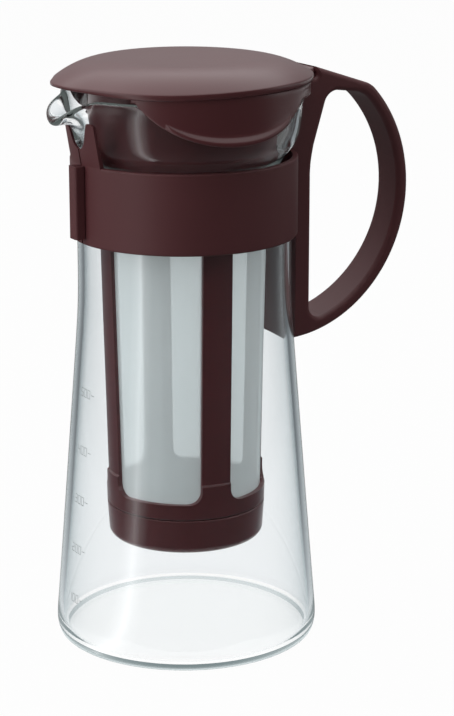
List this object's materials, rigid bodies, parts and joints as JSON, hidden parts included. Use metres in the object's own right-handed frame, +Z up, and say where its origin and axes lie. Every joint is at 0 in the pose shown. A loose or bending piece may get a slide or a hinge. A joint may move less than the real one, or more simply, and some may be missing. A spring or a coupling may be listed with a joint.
{
  "type": "cold brew coffee maker",
  "caption": "Glass jug with a pouring spout, clip-on plastic handle, domed lid and a lift-out mesh strainer for steeping coffee in cold water",
  "frame": {"origin": "middle of the jug's flat underside, on the jug's axis", "axes": "+X towards the handle, -X towards the spout, +Z up"},
  "size_m": [0.1399, 0.0936, 0.2069],
  "materials": {
    "glass": "clear",
    "brown_plastic": "satin",
    "mesh": "fine weave"
  },
  "bodies": {
    "jug": {"carafe": "glass", "handle_band": "brown_plastic"},
    "strainer": {"strainer_frame": "brown_plastic", "mesh_back_right": "mesh", "mesh_back_left": "mesh", "mesh_front_left": "mesh", "mesh_front_right": "mesh"},
    "lid": {"lid": "brown_plastic"},
    "cap": {"strainer_cap": "brown_plastic"},
    "clip": {"band_clip": "brown_plastic"}
  },
  "joints": [
    {"name": "strainer_lift", "type": "slide", "parent": "jug", "child": "strainer", "axis": [0, 0, 1], "range_m": [0, 0.17]},
    {"name": "lid_lift", "type": "slide", "parent": "strainer", "child": "lid", "axis": [0, 0, 1], "range_m": [0, 0.06]},
    {"name": "cap_pull", "type": "slide", "parent": "strainer", "child": "cap", "axis": [0, 0, -1], "range_m": [0, 0.02]},
    {"name": "clip_slide", "type": "slide", "parent": "jug", "child": "clip", "axis": [0, 0, -1], "range_m": [0, 0.03]}
  ]
}
